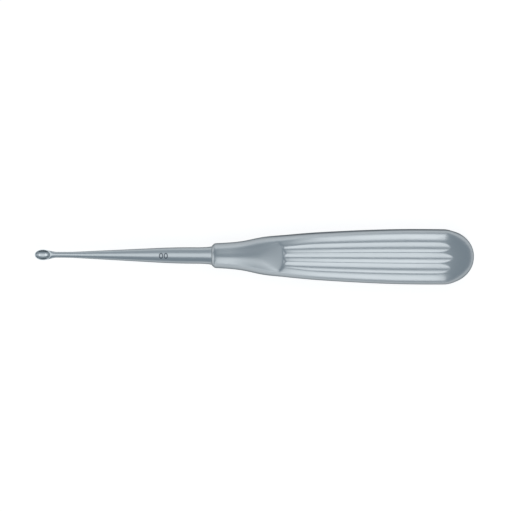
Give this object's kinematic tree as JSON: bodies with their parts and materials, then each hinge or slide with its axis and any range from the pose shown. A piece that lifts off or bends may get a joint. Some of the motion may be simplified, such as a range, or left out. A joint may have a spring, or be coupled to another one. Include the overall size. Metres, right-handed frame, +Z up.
{
  "type": "bone curette",
  "caption": "Straight bone curette with a small oval spoon, a tapered round shank and a hollow flat-oval handle with a thumb rest and lengthwise flutes.",
  "frame": {"origin": "under the middle of the tool's length and width, on the plane that the back of the handle rests on", "axes": "+X along the tool from the spoon to the butt, +Z up out of the spoon's open side and the front face of the handle"},
  "size_m": [0.1704, 0.0212, 0.0118],
  "materials": {
    "ground_steel": "finely ground, with a polished spoon",
    "satin_steel": "satin"
  },
  "bodies": {
    "root": {"shank": "ground_steel", "handle": "satin_steel"}
  },
  "joints": []
}
